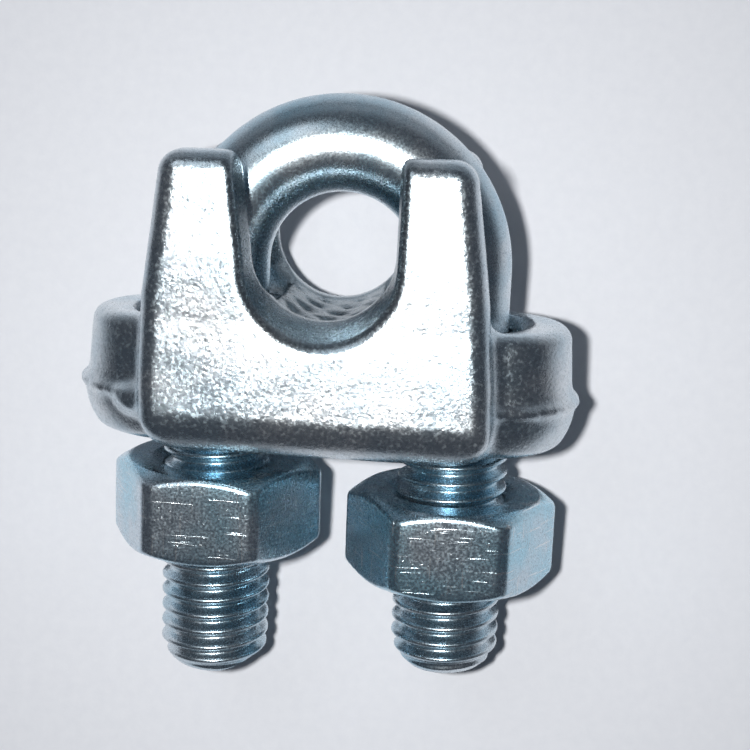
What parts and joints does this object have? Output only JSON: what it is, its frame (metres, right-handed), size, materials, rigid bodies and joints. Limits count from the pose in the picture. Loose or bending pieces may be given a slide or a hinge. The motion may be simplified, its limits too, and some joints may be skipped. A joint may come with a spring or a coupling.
{
  "type": "wire rope clip",
  "caption": "U-bolt clip that clamps wire rope between a bow and a forged grooved saddle, drawn up by hexagon nuts on its threaded legs.",
  "frame": {"origin": "on the axis of the saddle's rope seat, halfway along the saddle and midway between its two holes for the legs", "axes": "+Z along the legs towards the bow, +Y along the rope, +X across the two legs"},
  "size_m": [0.0452, 0.023, 0.0528],
  "materials": {
    "zinc_rod": "bright zinc plate with a light blue passivate, smooth rod with rolled threads",
    "zinc_forging": "bright zinc plate over a fine-grained forged surface",
    "zinc_nut": "zinc plate with a light blue passivate, lightly scratched flats"
  },
  "bodies": {
    "saddle": {"saddle": "zinc_forging"},
    "u_bolt": {"u_bolt": "zinc_rod"},
    "nut_left": {"nut_left": "zinc_nut"},
    "nut_right": {"nut_right": "zinc_nut"}
  },
  "joints": [
    {"name": "nut_left_turn", "type": "hinge", "parent": "saddle", "child": "nut_left", "pos_m": [-0.00994, -0.00047, -0.0242], "axis": [0, 0, 1], "range_deg": [-1992, 960]},
    {"name": "nut_right_turn", "type": "hinge", "parent": "saddle", "child": "nut_right", "pos_m": [0.01154, 0.00047, -0.0263], "axis": [0, 0, 1], "range_deg": [-1992, 960]},
    {"name": "u_bolt_slide", "type": "slide", "parent": "saddle", "child": "u_bolt", "axis": [0, 0, 1], "range_m": [-0.004, 0.0083]}
  ],
  "couplings": [
    {"joint": "nut_left_turn", "follows": "u_bolt_slide", "rad_per_m": -4188.8},
    {"joint": "nut_right_turn", "follows": "u_bolt_slide", "rad_per_m": -4188.8}
  ]
}
